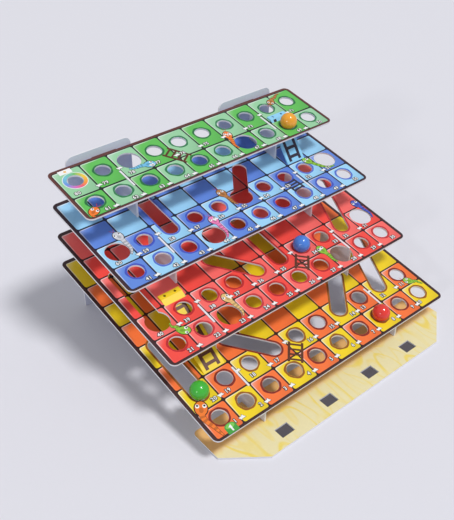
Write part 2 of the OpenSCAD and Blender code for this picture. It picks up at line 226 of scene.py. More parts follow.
class BoardSizes(bpy.types.PropertyGroup):
    """Sizes of the print and of what it is printed on."""

    pitch: length("Cell pitch", "Distance between gridlines", 24)
    border: length("Border", "Width of the dark border beside the grid", 3.2)
    overprint: length("Overprint", "Reach of the outer squares into the side borders", 1.0)
    front_border: length("Front border", "Width of the border in front of the grid", 1.5)
    rear_border: length("Rear border", "Depth of the card behind the grid", 11.5)
    rear_frame: length("Rear frame", "Width of the dark border at the rear", 2.6)
    card: length("Card", "Thickness of a board's card", 1.5)
    slope: FloatProperty(name="Slope", description="Rise of every tier towards the rear",
                         default=math.radians(10), subtype="ANGLE")
    seat: length("Seat radius", "Radius of a seat, half the width of a track", 6.3)
    seat_shift: length("Seat shift", "From a square's middle back to its seat", 2.0)
    last_seat_shift: length("Last seat shift", "The same, added in a tier's last row", 4.2)
    drop: length("Drop radius", "Radius of a hole that a ball falls through", 9.6)
    line: length("Gridline", "Width of a printed gridline", 1.3)
    cell_round: length("Cell corners", "Radius of a printed cell's corners", 1.5)
    frame_round: length("Grid corners", "Radius of the whole grid's corners", 2.4)
    ring: length("Ring", "Reach of the printed ring from a seat's rim", 1.65)
    ring_wobble: length("Ring wobble", "Swell of a hand-drawn ring", 0.28)
    digit: length("Digit height", "Height of a printed number", 3.3)
    digit_outline: length("Digit outline", "Width of the dark outline of a number", 0.56)
    snake: length("Snake", "Width of a snake's body behind its head", 3.7)
    rail: length("Ladder rail", "Width of a printed ladder's rails", 1.9)
    strip_rail: length("Strip rail", "Width of the rails on a ladder strip", 2.9)
    head_length: length("Strip head", "Length of a ladder strip's flat head", 4.5)
    notch: length("Notch", "Radius of the dots under a strip's notches", 1.3)
    notch_spacing: length("Notch spacing", "Distance between a strip's notches", 9.6)
    park_width: length("Parking hole width", "Width of a parking hole", 12)
    park_depth: length("Parking hole depth", "Depth of a parking hole, front to back", 9.2)
    park_spacing: length("Parking hole spacing", "Distance between parking holes", 45.5)
    park_y: length("Parking hole place", "From the base's front edge to the holes", 11.7)
    film: length("Ink", "Height of one printed layer", 0.05)
    sink: length("Key", "Depth of the ink in the card", 0.02)
    seam: length("Ball seam", "Height of the moulding seam round a ball", 0.06)


class BoardColours(bpy.types.PropertyGroup):
    """Colours of the card and the print. The groups below are added to them."""

    card_core: tint("Card core", "Cut edges of the card", 236, 235, 240)
    card_back: tint("Card back", "Unprinted underside of the card", 214, 213, 218)
    fin: tint("Fin card", "White uprights", 214, 213, 222)
    panel: tint("Rear panels", "Grey-lilac uprights", 208, 211, 230)
    base: tint("Base", "Cream of the wood print", 238, 226, 176)
    base_grain: tint("Base grain", "Yellow streaks of the wood print", 242, 216, 92)
    # Painted shade: this warm tan stands in for the lowest tier's shadow on the base
    base_rear: tint("Base, rear", "Tan of the wood print under the lowest tier", 240, 188, 118)
    # Painted shade: a dark grey put in the parking holes, where they are in shade
    park: tint("Parking holes", "Dark ground of the parking holes", 84, 80, 88)
    strip_low: tint("Low ladder strip", "Yellow card of the ladder strip", 246, 214, 30)
    strip_high: tint("High ladder strip", "Light blue card of the ladder strip", 146, 212, 248)
    ladder: tint("Ladder", "Brown of the ladders", 92, 46, 24)
    ladder_dark: tint("Dark ladder", "Ladders on the third tier and its strip", 44, 38, 58)
    white: tint("White ink", "Numbers, arrows and labels", 246, 246, 246)
    black: tint("Dark ink", "Outlines and eyes", 26, 20, 22)
    tongue: tint("Tongue ink", "Snakes' tongues", 214, 40, 56)
    start: tint("Start mark", "Tab at the first cell", 66, 160, 60)
    start_pale: tint("Start mark, arch", "Lighter arch of the tab at the first cell", 124, 200, 84)
    star: tint("Star", "Star on the last cell's label", 244, 178, 40)
    floor: tint("Floor", "Pale studio floor", 226, 225, 232)


# Colours of each tier's print, the snakes and the balls, by the part
GROUP_TINTS = {
    "yellow": {"even": (250, 118, 54), "odd": (246, 214, 22), "line": (42, 18, 14), "frame": (62, 32, 34),
               "ring_even": (128, 32, 20), "ring_odd": (150, 88, 22)},
    "red": {"even": (247, 76, 66), "odd": (252, 108, 102), "line": (46, 14, 18), "frame": (62, 32, 36),
            "ring_even": (186, 34, 38), "ring_odd": (196, 48, 54)},
    "blue": {"even": (98, 138, 222), "odd": (158, 214, 248), "line": (18, 22, 48), "frame": (62, 34, 42),
             "ring_even": (66, 84, 190), "ring_odd": (84, 110, 204)},
    "green": {"even": (98, 193, 88), "odd": (154, 210, 164), "line": (16, 34, 22), "frame": (98, 52, 46),
              "ring_even": (34, 112, 62), "ring_odd": (44, 122, 78)},
    "snake": {"orange": (244, 124, 40), "tan": (232, 192, 122), "green": (142, 196, 56),
              "blue": (70, 92, 196), "pink": (240, 128, 184), "brown": (190, 124, 62),
              "grey": (214, 214, 218), "sky": (112, 190, 228)},
    "ball": {"green": (66, 184, 58), "red": (232, 58, 50), "blue": (74, 130, 220), "yellow": (246, 168, 48)},
}
GROUP_NAMES = {"snake": "Body of a snake", "ball": "Glossy plastic of a ball"}
for group, tints in GROUP_TINTS.items():
    for part, shown in tints.items():
        label = "%s, %s" % (group.capitalize(), part.replace("_", " "))
        about = GROUP_NAMES.get(group, "Print of the %s tier" % group)
        BoardColours.__annotations__["%s_%s" % (group, part)] = tint(label, about, *shown)


def sizes():
    return bpy.context.scene.board_sizes


def linear(shown, share=1.0):
    """The linear RGBA that a socket takes for a colour as it looks on screen, scaled by a share."""
    made = Color(shown).from_srgb_to_scene_linear()
    return (made.r * share, made.g * share, made.b * share, 1.0)


def tone(name, share=1.0):
    """One of the board's colours, as a socket takes it."""
    return linear(getattr(bpy.context.scene.board_colours, name), share)


def tier_corner(tier):
    """Where a tier's front left gridlines cross, on its top face."""
    size = sizes()
    low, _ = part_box("board_" + tier)
    rise, run = math.sin(size.slope), math.cos(size.slope)
    return Vector((low.x + size.border, low.y + size.front_border * run,
                   low.z + size.front_border * rise + size.card * run))


def cell_point(column, row):
    """A point of a tier's own frame, x and y along its gridlines, from a place counted in cells."""
    return Vector((column, row)) * sizes().pitch


def seat_point(tier, column, row):
    """The middle of a seat in a tier's own frame."""
    size = sizes()
    shift = size.seat_shift + (size.last_seat_shift if row == ROWS[tier] - 1 else 0.0)
    return cell_point(column + 0.5, row + 0.5) + Vector((0.0, shift))


# Materials


class Signal:
    """What a node gives, for plain arithmetic."""

    def __init__(self, tree, socket):
        self.tree, self.socket = tree, socket

    def __add__(self, other):
        return self.tree.math("ADD", self, other)

    def __sub__(self, other):
        return self.tree.math("SUBTRACT", self, other)

    def __rsub__(self, other):
        return self.tree.math("SUBTRACT", other, self)

    def __mul__(self, other):
        return self.tree.math("MULTIPLY", self, other)


class Tree:
    """Adds nodes to a tree. A signal or socket given as a value is linked, and anything else is set."""

    def __init__(self, tree):
        self.tree = tree

    def add(self, kind, values=None, **settings):
        node = self.tree.nodes.new(kind)
        for key, value in settings.items():
            setattr(node, key, value)
        for key, value in (values or {}).items():
            self.give(node.inputs[key], value)
        return node

    def give(self, socket, value):
        if isinstance(value, Signal):
            value = value.socket
        if isinstance(value, bpy.types.NodeSocket):
            self.tree.links.new(value, socket)
        else:
            socket.default_value = value

    def math(self, operation, *values):
        node = self.add("ShaderNodeMath", dict(enumerate(values)), operation=operation)
        return Signal(self, node.outputs[0])

    def least(self, first, second):
        return self.math("MINIMUM", first, second)

    def most(self, first, second):
        return self.math("MAXIMUM", first, second)

    def ramp(self, value, low, high, to_low=0.0, to_high=1.0):
        """A smooth step from to_low at low to to_high at high."""
        ends = {"From Min": low, "From Max": high, "To Min": to_low, "To Max": to_high}
        node = self.add("ShaderNodeMapRange", {"Value": value, **ends}, interpolation_type="SMOOTHSTEP")
        return Signal(self, node.outputs["Result"])

    def noise(self, vector, scale, detail, **more):
        node = self.add("ShaderNodeTexNoise", {"Vector": vector, "Scale": scale, "Detail": detail, **more})
        return Signal(self, node.outputs[0])

    def mix(self, factor, first, second):
        """Two colours mixed, by the places of the node's sockets for colours."""
        node = self.add("ShaderNodeMix", {0: factor, 6: first, 7: second}, data_type="RGBA")
        return node.outputs[2]

    def split(self, vector):
        node = self.add("ShaderNodeSeparateXYZ", {0: vector})
        return [Signal(self, socket) for socket in node.outputs]

    def group(self, make, values):
        """What a shader node group gives. The group is made when it is first asked for."""
        made = bpy.data.node_groups.get(make.__name__) or make()
        node = self.add("ShaderNodeGroup", values, node_tree=made)
        return {socket.name: Signal(self, socket) for socket in node.outputs}


def new_group(name, inputs, outputs):
    """A shader node group with sockets by their kind: its tree, what it is given and what it gives."""
    group = bpy.data.node_groups.new(name, "ShaderNodeTree")
    for in_out, kinds in (("INPUT", inputs), ("OUTPUT", outputs)):
        for kind, labels in kinds.items():
            for label in labels:
                group.interface.new_socket(label, in_out=in_out, socket_type="NodeSocket" + kind)
    tree = Tree(group)
    given = {socket.name: Signal(tree, socket) for socket in tree.add("NodeGroupInput").outputs}
    return group, tree, given, tree.add("NodeGroupOutput").inputs


def paper_grain():
    """Mottling, gloss and fibre of coated card."""
    group, tree, given, result = new_group(
        "paper_grain", {"Vector": ["Vector"], "Color": ["Color"], "Float": ["Mottle", "Gloss"]},
        {"Color": ["Color"], "Float": ["Roughness", "Height"]})
    fibre_share, gloss_share = 0.5, 0.25
    cloud = tree.noise(given["Vector"], scale=420.0, detail=4.0, Roughness=0.6)
    fibre = tree.noise(given["Vector"], scale=5200.0, detail=2.0)
    # Each noise swings about a half
    swing = cloud + fibre * fibre_share - 0.5 * (1 + fibre_share)
    shown = tree.add("ShaderNodeHueSaturation", {"Value": swing * given["Mottle"] + 1.0,
                                                 "Color": given["Color"]})
    tree.give(result["Color"], shown.outputs[0])
    tree.give(result["Roughness"], given["Gloss"] + swing * gloss_share)
    tree.give(result["Height"], fibre)
    return group


def cut_edge():
    """Masks of a card's upper face and its underside. What is left is its cut edges."""
    group, tree, given, result = new_group(
        "cut_edge", {"Vector": ["Normal", "Axis"]}, {"Float": ["Face", "Under"]})
    edge, face = 0.75, 0.9
    lean = tree.add("ShaderNodeVectorMath", {0: given["Normal"], 1: given["Axis"]},
                    operation="DOT_PRODUCT").outputs["Value"]
    tree.give(result["Face"], tree.ramp(lean, edge, face))
    tree.give(result["Under"], tree.ramp(lean, -edge, -face))
    return group


def beyond(tree, place, count, corner):
    """How far a place lies past the straight part of a row of cells, negative inside it."""
    half = count * 0.5
    return tree.math("ABSOLUTE", place - half) - (half - corner)


def round_distance(tree, x, y):
    """How far a place lies out of a rounded corner's middle."""
    x, y = tree.most(x, 0.0), tree.most(y, 0.0)
    return tree.math("SQRT", x * x + y * y)


def tier_print():
    """The squares, gridlines and border of a tier, in cells from its front left corner."""
    group, tree, given, result = new_group(
        "tier_print", {
            "Vector": ["Vector"], "Color": ["Even", "Odd", "Line", "Frame", "Worn"],
            "Float": ["Rows", "Columns", "Line Width", "Cell Round", "Frame Round", "Border", "Last Row"]},
        {"Color": ["Color"]})
    blur, edge_inside, edge_outside, fray = 0.005, 0.062, 0.046, 0.06
    edge_glow, corner_glow, corner_shade, wear = 0.6, 0.26, 0.16, 0.8
    across, depth, _ = tree.split(given["Vector"])
    # The last row is deeper than the others, as it takes in the card behind the grid
    full = given["Rows"] - 1.0
    past = tree.most(depth - full, 0.0)
    along = tree.least(depth, full) + tree.math("DIVIDE", past, given["Last Row"])
    odd = tree.math("FLOORED_MODULO", tree.math("FLOOR", across) + tree.math("FLOOR", along), 2.0)
    fill = tree.mix(odd, given["Even"], given["Odd"])
    # Place in the cell, from -0.5 to 0.5
    x, y = tree.math("FRACT", across) - 0.5, tree.math("FRACT", along) - 0.5
    # Light from the rear left, as on a bevelled tile
    tilt = y - x
    margin = tree.least(x + 0.5, 0.5 - y)
    lit = tree.ramp(tilt, low=0.0, high=0.75, to_high=edge_glow)
    edge = tree.ramp(margin, edge_inside, edge_outside) * lit
    light = tree.most(edge, tree.ramp(tilt, low=0.52, high=1.0, to_high=corner_glow))
    fill = tree.mix(light, fill, (1.0, 1.0, 1.0, 1.0))
    shade = tree.ramp(tilt, low=-0.1, high=-0.95, to_high=corner_shade)
    fill = tree.mix(shade, fill, given["Line"])
    # Rounded cells leave the gridlines between them
    core = 0.5 - given["Line Width"] * 0.5 - given["Cell Round"]
    gap = round_distance(tree, tree.math("ABSOLUTE", x) - core, tree.math("ABSOLUTE", y) - core)
    paint = tree.mix(tree.ramp(gap - given["Cell Round"], -blur, blur), fill, given["Line"])
    # The border starts at the grid's own rounded outline
    side_x = beyond(tree, across, given["Columns"], given["Frame Round"])
    side_y = beyond(tree, along, given["Rows"], given["Frame Round"])
    inside = tree.least(tree.most(side_x, side_y), 0.0)
    outside = round_distance(tree, side_x, side_y) + inside - given["Frame Round"]
    paint = tree.mix(tree.ramp(outside, -blur, blur), paint, given["Frame"])
    # Handling wears the ink off the outermost edge
    rub = tree.noise(given["Vector"], scale=3.2, detail=5.0) - 0.5
    worn = tree.ramp(outside + rub * fray - given["Border"], low=-0.012, high=0.01, to_high=wear)
    tree.give(result["Color"], tree.mix(worn, paint, given["Worn"]))
    return group


def new_material(name):
    """A material with its tree, its shader and the coordinates that it is drawn on."""
    material = bpy.data.materials.new(name)
    material.use_nodes = True
    material.node_tree.nodes.clear()
    tree = Tree(material.node_tree)
    shader = tree.add("ShaderNodeBsdfPrincipled")
    tree.add("ShaderNodeOutputMaterial", {"Surface": shader.outputs["BSDF"]})
    return material, tree, shader, tree.add("ShaderNodeTexCoord").outputs


def coat_card(tree, shader, vector, colour, mottle=0.08, gloss=0.42):
    """Lays the paper's grain over a colour and feeds the shader with it."""
    grain = tree.group(paper_grain, {"Vector": vector, "Color": colour, "Mottle": mottle, "Gloss": gloss})
    tree.give(shader.inputs["Base Color"], grain["Color"])
    tree.give(shader.inputs["Roughness"], grain["Roughness"])
    bump = tree.add("ShaderNodeBump", {"Strength": 0.06, "Distance": 0.0002, "Height": grain["Height"]})
    tree.give(shader.inputs["Normal"], bump.outputs[0])


def ink(name, share=1.0):
    """One of the board's colours as ink on card, made once."""
    label = "ink_%s_%d" % (name, round(100 * share))
    if label in bpy.data.materials:
        return bpy.data.materials[label]
    material, tree, shader, coords = new_material(label)
    coat_card(tree, shader, coords["Object"], tone(name, share), mottle=0.10)
    return material


def card_material(name, axis):
    """Plain coated card: a colour on its faces, across the axis, and the pale core at its cut edges."""
    material, tree, shader, coords = new_material(name + "_card")
    cut = tree.group(cut_edge, {"Normal": coords["Normal"], "Axis": axis})
    paint = tree.mix(cut["Face"] + cut["Under"], tone("card_core"), tone(name))
    coat_card(tree, shader, coords["Object"], paint, gloss=0.5)
    return material


def board_material(tier):
    """A tier's print, with the pale core at its cut edges and a bare underside."""
    size = sizes()
    material, tree, shader, coords = new_material("printed_card_" + tier)
    corner = tier_corner(tier) - Vector((size.overprint, 0.0, 0.0))
    wide = size.pitch + 2 * size.overprint / COLUMNS
    cells = tree.add("ShaderNodeMapping", {
        "Vector": coords["Object"], "Location": corner, "Rotation": (size.slope, 0.0, 0.0),
        "Scale": (wide, size.pitch, size.pitch)}, vector_type="TEXTURE").outputs[0]
    values = {"Vector": cells, "Worn": tone("card_core"), "Rows": ROWS[tier], "Columns": COLUMNS,
              "Last Row": 1.0 + (size.rear_border - size.rear_frame) / size.pitch}
    for part in ("even", "odd", "line", "frame"):
        values[part.capitalize()] = tone("%s_%s" % (tier, part))
    for label, span in (("Line Width", size.line), ("Cell Round", size.cell_round),
                        ("Frame Round", size.frame_round), ("Border", size.border)):
        values[label] = span / size.pitch
    printed = tree.group(tier_print, values)["Color"]
    up = (0.0, -math.sin(size.slope), math.cos(size.slope))
    cut = tree.group(cut_edge, {"Normal": coords["Normal"], "Axis": up})
    paint = tree.mix(cut["Face"], tone("card_core"), printed)
    paint = tree.mix(cut["Under"], paint, tone("card_back"))
    coat_card(tree, shader, coords["Object"], paint, gloss=0.4)
    return material


def base_material():
    """Cream card printed with yellow wood grain, with painted shade in warm tan under the lowest tier."""
    material, tree, shader, coords = new_material("wood_print_card")
    printed = tone("base")
    # The streaks are height lines of a slow noise, drawn out across the strip
    for across, along, count, strength in GRAIN_LAYERS:
        grown = tree.add("ShaderNodeMapping", {
            "Vector": coords["Object"], "Scale": (across, along, across),
            "Rotation": (0.0, 0.0, GRAIN_TURN)}).outputs[0]
        heights = tree.noise(grown, scale=1.0, detail=0.6)
        patches = tree.noise(grown, scale=2.1, detail=1.0)
        fade = tree.ramp(patches, low=0.32, high=0.6, to_low=0.15, to_high=strength)
        lines = tree.ramp(tree.math("PINGPONG", heights * count, 0.5), low=0.34, high=0.47)
        printed = tree.mix(lines * fade, printed, tone("base_grain"))
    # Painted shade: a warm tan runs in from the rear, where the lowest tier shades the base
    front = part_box("base_strip")[0].y
    depth = tree.split(coords["Object"])[1]
    rear = tree.ramp(depth, front + PAINTED_SHADE_START, front + PAINTED_SHADE_FULL)
    printed = tree.mix(rear, printed, tone("base_rear"))
    cut = tree.group(cut_edge, {"Normal": coords["Normal"], "Axis": (0.0, 0.0, 1.0)})
    coat_card(tree, shader, coords["Object"], tree.mix(cut["Face"], tone("card_core"), printed))
    return material


def ball_material(name):
    """Glossy moulded plastic with a faint swirl of the pigment and fine scuffs."""
    material, tree, shader, coords = new_material(name + "_plastic")
    pale, dark, clean, scuffed = 1.06, 0.94, 0.14, 0.26
    pigment = tree.noise(coords["Object"], scale=160.0, detail=3.0, Distortion=1.6)
    swirl = tree.ramp(pigment, low=0.3, high=0.75)
    marks = tree.noise(coords["Object"], scale=900.0, detail=4.0)
    scuff = tree.ramp(marks, low=0.35, high=0.8, to_low=clean, to_high=scuffed)
    tree.give(shader.inputs["Base Color"], tree.mix(swirl, tone(name, dark), tone(name, pale)))
    tree.give(shader.inputs["Roughness"], scuff)
    shader.inputs["Coat Weight"].default_value = 0.25
    shader.inputs["Coat Roughness"].default_value = 0.06
    return material


def rainbow_material(centre):
    """A colour wheel printed round a seat."""
    material, tree, shader, coords = new_material("rainbow_ring")
    turned = tree.add("ShaderNodeMapping", {
        "Vector": coords["Object"], "Location": centre,
        "Rotation": (sizes().slope, 0.0, WHEEL_TURN)}, vector_type="TEXTURE").outputs[0]
    wheel = tree.add("ShaderNodeTexGradient", {"Vector": turned}, gradient_type="RADIAL").outputs[1]
    ramp = tree.add("ShaderNodeValToRGB", {"Fac": wheel})
    for place, _ in WHEEL_STOPS[1:-1]:
        ramp.color_ramp.elements.new(place)
    for element, (place, shown) in zip(ramp.color_ramp.elements, WHEEL_STOPS):
        element.position = place
        element.color = linear([part / 255 for part in shown])
    coat_card(tree, shader, coords["Object"], ramp.outputs[0])
    return material


def dress(start, material):
    """Gives the CAD nodes with this start to their names a material in place of their own."""
    for name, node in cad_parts.items():
        if name.startswith(start):
            node.data.materials.clear()
            node.data.materials.append(material)


# Printed shapes, drawn flat in a tier's own frame


def new_piece(name, shape, materials):
    mesh = bpy.data.meshes.new(name)
    shape.to_mesh(mesh)
    shape.free()
    for material in materials:
        mesh.materials.append(material)
    piece = bpy.data.objects.new(name, mesh)
    bpy.context.scene.collection.objects.link(piece)
    return piece


class PrintSheet:
    """Gathers printed shapes into one piece of the board."""

    def __init__(self, name, place, slot):
        self.name, self.place, self.slot = name, place, slot
        self.mesh = bmesh.new()
        self.inks = []

    def press(self, shape, *inks):
        """Adds a closed shape, whose faces count their ink in the inks given, and frees it."""
        bmesh.ops.recalc_face_normals(shape, faces=shape.faces)
        for one in inks:
            if one not in self.inks:
                self.inks.append(one)
        places = [self.inks.index(one) for one in inks]
        for face in shape.faces:
            face.material_index = places[face.material_index]
        loose = bpy.data.meshes.new("loose")
        shape.to_mesh(loose)
        shape.free()
        self.mesh.from_mesh(loose)
        bpy.data.meshes.remove(loose)

    def finish(self):
        """Puts the sheet on its tier and makes it ride with the board."""
        bmesh.ops.transform(self.mesh, matrix=self.place, verts=self.mesh.verts)
        piece = new_piece(self.name, self.mesh, self.inks)
        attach(piece, "board")


def tier_sheet(kind, tier):
    """A sheet in a tier's own frame, x and y along its gridlines and z above its top face."""
    place = Matrix.Translation(tier_corner(tier)) @ Matrix.Rotation(sizes().slope, 4, "X")
    return PrintSheet(kind + "_" + tier, place, tier + "_card")


def tier_sheets(kind):
    """Each tier with a sheet, which is finished once the caller has filled it."""
    for tier in TIERS:
        sheet = tier_sheet(kind, tier)
        yield tier, sheet
        sheet.finish()


def only(kind, items):
    """The mesh elements of one kind."""
    return [item for item in items if isinstance(item, kind)]


def left_of(run):
    """The direction to the left of a run."""
    return Vector((-run.y, run.x)).normalized()


def raise_ink(shape, layers):
    """Gives flat faces, drawn at the foot of the ink, the height of so many printed layers."""
    size = sizes()
    made = bmesh.ops.extrude_face_region(shape, geom=list(shape.faces))["geom"]
    bmesh.ops.translate(shape, verts=only(BMVert, made), vec=(0.0, 0.0, size.sink + layers * size.film))
    return shape


def disc_shape(centre, long, wide, turn, layers, sides=24):
    """An oval, with its long radius turned from the x axis."""
    shape = bmesh.new()
    place = (Matrix.Translation((centre.x, centre.y, -sizes().sink)) @ Matrix.Rotation(turn, 4, "Z")
             @ Matrix.Diagonal((long, wide, 1.0, 1.0)))
    bmesh.ops.create_circle(shape, cap_ends=True, segments=sides, radius=1.0, matrix=place)
    return raise_ink(shape, layers)


def bar_shape(start, end, width, layers):
    """A straight bar between two points."""
    size = sizes()
    shape = bmesh.new()
    run, middle = end - start, (start + end) / 2
    height = size.sink + layers * size.film
    place = (Matrix.Translation((middle.x, middle.y, height / 2 - size.sink))
             @ Matrix.Rotation(math.atan2(run.y, run.x), 4, "Z")
             @ Matrix.Diagonal((run.length, width, height, 1.0)))
    bmesh.ops.create_cube(shape, size=1.0, matrix=place)
    return shape


def ring_section(shape, centre, direction, inner, outer, layers):
    """The cut through a printed ring, standing across its line."""
    low, high = -sizes().sink, layers * sizes().film
    verts = []
    for reach, height in ((inner, low), (outer, low), (outer, high), (inner, high)):
        point = centre + direction * reach
        verts.append(shape.verts.new((point.x, point.y, height)))
    edges = [shape.edges.new((verts[k - 1], verts[k])) for k in range(len(verts))]
    return verts + edges


def spin(shape, section, centre, angle, steps, merge=False):
    """Turns a cut about an upright axis, and gives the cut at the far end."""
    return bmesh.ops.spin(shape, geom=section, cent=(centre.x, centre.y, 0.0), axis=(0.0, 0.0, 1.0),
                          angle=angle, steps=steps, use_merge=merge)["geom_last"]


def ring_shape(centre, inner, outer, layers, phase=0.0, amount=0.0):
    """A closed ring round a seat, whose outer rim swells here and there as in hand-drawn ink."""
    shape = bmesh.new()
    section = ring_section(shape, centre, Vector((1.0, 0.0)), inner, outer, layers)
    spin(shape, section, centre, TAU, RING_STEPS, merge=True)
    for vert in shape.verts:
        reach = vert.co.xy - centre
        if reach.length > (inner + outer) / 2:
            angle = math.atan2(reach.y, reach.x)
            swell = sum(high * math.sin(count * angle + lead * phase) for count, lead, high in RING_WAVES)
            vert.co.xy += reach.normalized() * amount * swell
    return shape


def track_ring_shape(start, end, inner, outer, layers):
    """A closed band round a ball track: half a turn at each end, and the straight sides between."""
    shape = bmesh.new()
    run = end - start
    section = ring_section(shape, start, left_of(run), inner, outer, layers)
    for centre, move in ((start, run), (end, -run)):
        turned = spin(shape, section, centre, math.pi, TRACK_END_STEPS)
        drawn = bmesh.ops.extrude_edge_only(shape, edges=only(BMEdge, turned))["geom"]
        verts = only(BMVert, drawn)
        bmesh.ops.translate(shape, verts=verts, vec=(move.x, move.y, 0.0))
        # Edges that lead back to the cut before this one are left out
        section = verts + [edge for edge in only(BMEdge, drawn) if all(vert in verts for vert in edge.verts)]
    bmesh.ops.remove_doubles(shape, verts=shape.verts, dist=MERGE)
    return shape


def strip_shape(line, widths, layers, bands=1):
    """A tapering strip along a line of points, its faces counted in bands of a few steps each."""
    shape = bmesh.new()
    edge = None
    for k, point in enumerate(line):
        ahead = line[min(k + 1, len(line) - 1)] - line[max(k - 1, 0)]
        side = left_of(ahead) * widths[k] / 2
        ends = [(point + side).to_3d(), (point - side).to_3d()]
        if edge is None:
            verts = [shape.verts.new(end) for end in ends]
            edge = shape.edges.new(verts)
        else:
            made = bmesh.ops.extrude_edge_only(shape, edges=[edge])["geom"]
            verts = sorted(only(BMVert, made), key=lambda vert: (vert.co - last[0]).length)
            for vert, end in zip(verts, ends):
                vert.co = end
            for face in only(BMFace, made):
                face.material_index = (k // BAND_STEPS) % bands
            edge = shape.edges.get(verts)
        last = ends
    bmesh.ops.translate(shape, verts=shape.verts, vec=(0.0, 0.0, -sizes().sink))
    return raise_ink(shape, layers)


def smooth_line(points, steps):
    """A line of points through a few given ones, eased at each by a Catmull-Rom spline."""
    line = []
    ends = [points[0] * 2 - points[1], *points, points[-1] * 2 - points[-2]]
    for k in range(1, len(ends) - 2):
        a, b, c, d = ends[k - 1:k + 3]
        for step in range(steps):
            t = step / steps
            line.append(0.5 * (2 * b + (c - a) * t + (2 * a - 5 * b + 4 * c - d) * t ** 2
                               + (3 * b - a - 3 * c + d) * t ** 3))
    return [*line, points[-1]]


def rim_line(centre, rim, angle, turn):
    """A line that comes in to a hole's rim and follows it round."""
    line = []
    for k in range(RIM_STEPS + 1):
        share = k / RIM_STEPS
        ease = max(0.0, 1.0 - share / RIM_LEAD) ** 2
        at = math.radians(angle + turn * share)
        reach = rim + RIM_BODY + (RIM_HEAD - RIM_BODY) * ease
        line.append(centre + Vector((math.cos(at), math.sin(at))) * reach)
    return line


def add_snake(sheet, line, colour, wide):
    """A banded snake seen from above, with its head at the start of the line."""
    name = "snake_" + colour
    inks = {"body": ink(name), "band": ink(name, BAND_SHARE), "outline": ink("black"), "white": ink("white")}
    last = len(line) - 1
    widths = [wide * (1.0 - TAPER * (k / last) ** TAPER_POWER) for k in range(last + 1)]
    sheet.press(strip_shape(line, [width + SNAKE_OUTLINE for width in widths], layers=1), inks["outline"])
    sheet.press(strip_shape(line, widths, layers=2, bands=2), inks["body"], inks["band"])
    ahead = (line[0] - line[2]).normalized()
    side = left_of(ahead)
    turn = math.atan2(ahead.y, ahead.x)
    wide *= HEAD_SHARE
    head = line[0] + ahead * wide * HEAD_MIDDLE
    root = head + ahead * wide * TONGUE_ROOT
    for fork in (-TONGUE_FORK, TONGUE_FORK):
        tip = root + (ahead * TONGUE_REACH + side * fork) * wide
        sheet.press(bar_shape(root, tip, TONGUE_WIDTH, layers=1), ink("tongue"))
    for forward, aside, long, broad, layers, sides, paint in HEAD_OVALS:
        middle = head + (ahead * forward + side * aside) * wide
        sheet.press(disc_shape(middle, wide * long, wide * broad, turn, layers, sides), inks[paint])


def add_ladder(sheet, foot, head, wide, rungs, paint, bar):
    """Two rails and a few rungs between two points."""
    side = left_of(head - foot) * wide / 2
    for hand in (-1, 1):
        sheet.press(bar_shape(foot + side * hand, head + side * hand, bar, layers=2), paint)
    for k in range(rungs):
        at = foot.lerp(head, (k + 0.5) / rungs)
        reach = side * RUNG_REACH
        sheet.press(bar_shape(at - reach, at + reach, bar * RUNG_SHARE, layers=2.6), paint)


def digit_mesh(character, height, swell):
    """A digit as a closed mesh about its own middle, from Blender's own font."""
    curve = bpy.data.curves.new("digit", "FONT")
    curve.body = character
    curve.size = height / FONT_HEIGHT
    curve.align_x, curve.align_y = "CENTER", "CENTER"
    curve.resolution_u = 2
    curve.offset = swell
    # Any height does, as each digit is given its own where it is set down
    curve.extrude = 0.5 * MM
    carrier = bpy.data.objects.new("digit", curve)
    bpy.context.scene.collection.objects.link(carrier)
    graph = bpy.context.evaluated_depsgraph_get()
    mesh = bpy.data.meshes.new_from_object(carrier.evaluated_get(graph))
    bpy.data.objects.remove(carrier)
    bpy.data.curves.remove(curve)
    return mesh


def digit_shape(mesh, centre, layers):
    """A digit set down at a point, as high as so many printed layers."""
    size = sizes()
    shape = bmesh.new()
    shape.from_mesh(mesh)
    bmesh.ops.remove_doubles(shape, verts=shape.verts, dist=DIGIT_MERGE)
    bmesh.ops.dissolve_degenerate(shape, dist=DIGIT_MERGE, edges=shape.edges)
    for vert in shape.verts:
        vert.co = (vert.co.x + centre.x, vert.co.y + centre.y,
                   layers * size.film if vert.co.z > 0 else -size.sink)
    return shape


# Operators


